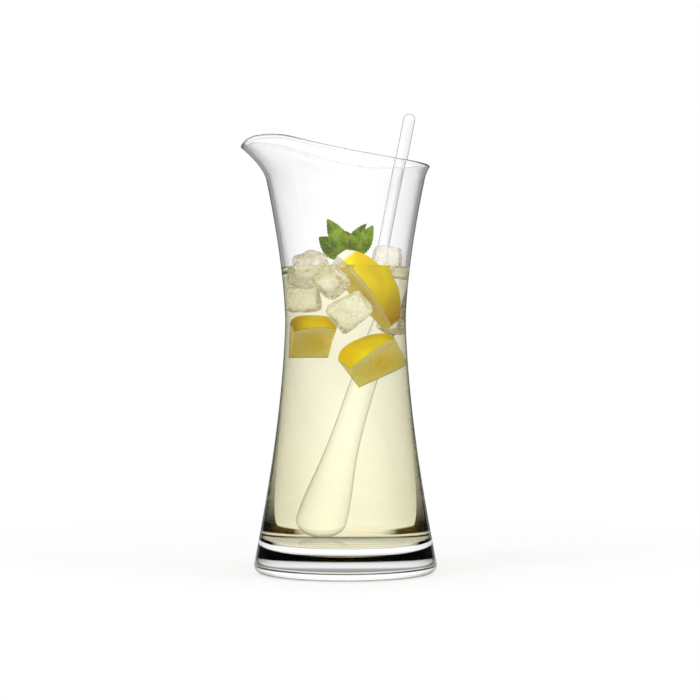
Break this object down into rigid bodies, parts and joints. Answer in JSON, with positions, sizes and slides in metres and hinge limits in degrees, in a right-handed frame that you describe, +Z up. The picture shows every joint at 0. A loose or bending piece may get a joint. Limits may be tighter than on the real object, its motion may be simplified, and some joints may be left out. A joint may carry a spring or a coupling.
{
  "type": "cocktail pitcher",
  "caption": "Tall waisted glass cocktail jug with a slanted rim and drawn spout, a leaning glass stirrer with a drop foot, and a served drink with ice cubes, lemon wedges and mint.",
  "frame": {"origin": "centre of the jug's base, on the table", "axes": "+Z up along the jug's axis; -X is the way the spout points; the pictured side faces -Y"},
  "size_m": [0.1217, 0.1134, 0.2878],
  "materials": {
    "jug_glass": "clear, polished, fire-rounded rim",
    "stirrer_glass": "clear, polished",
    "drink": "clear pale yellow liquid",
    "ice": "wet, clear with small bubbles",
    "lemon_rind": "waxy rind with pores, pale pith inside",
    "lemon_flesh": "wet pulp",
    "mint_stem": "matt",
    "mint_leaf": "matt with veins"
  },
  "bodies": {
    "jug": {"jug": "jug_glass"},
    "contents": {"drink": "drink", "ice_cube_1": "ice", "ice_cube_2": "ice", "ice_cube_3": "ice", "ice_cube_4": "ice", "ice_cube_5": "ice", "ice_cube_6": "ice", "ice_cube_7": "ice", "lemon_peel_1": "lemon_rind", "lemon_peel_2": "lemon_rind", "lemon_peel_3": "lemon_rind", "lemon_flesh_1": "lemon_flesh", "lemon_flesh_2": "lemon_flesh", "lemon_flesh_3": "lemon_flesh", "mint_stem": "mint_stem", "mint_leaf_1": "mint_leaf", "mint_leaf_2": "mint_leaf", "mint_leaf_3": "mint_leaf", "mint_leaf_4": "mint_leaf", "mint_leaf_5": "mint_leaf"},
    "stirrer": {"stirrer": "stirrer_glass"}
  },
  "joints": [
    {"name": "stir", "type": "hinge", "parent": "jug", "child": "contents", "pos_m": [0, 0, 0], "axis": [0, 0, 1], "continuous": true},
    {"name": "stirrer_lift", "type": "slide", "parent": "contents", "child": "stirrer", "axis": [0, 0, 1], "range_m": [0, 0.26], "deforming": ["drink"]}
  ]
}
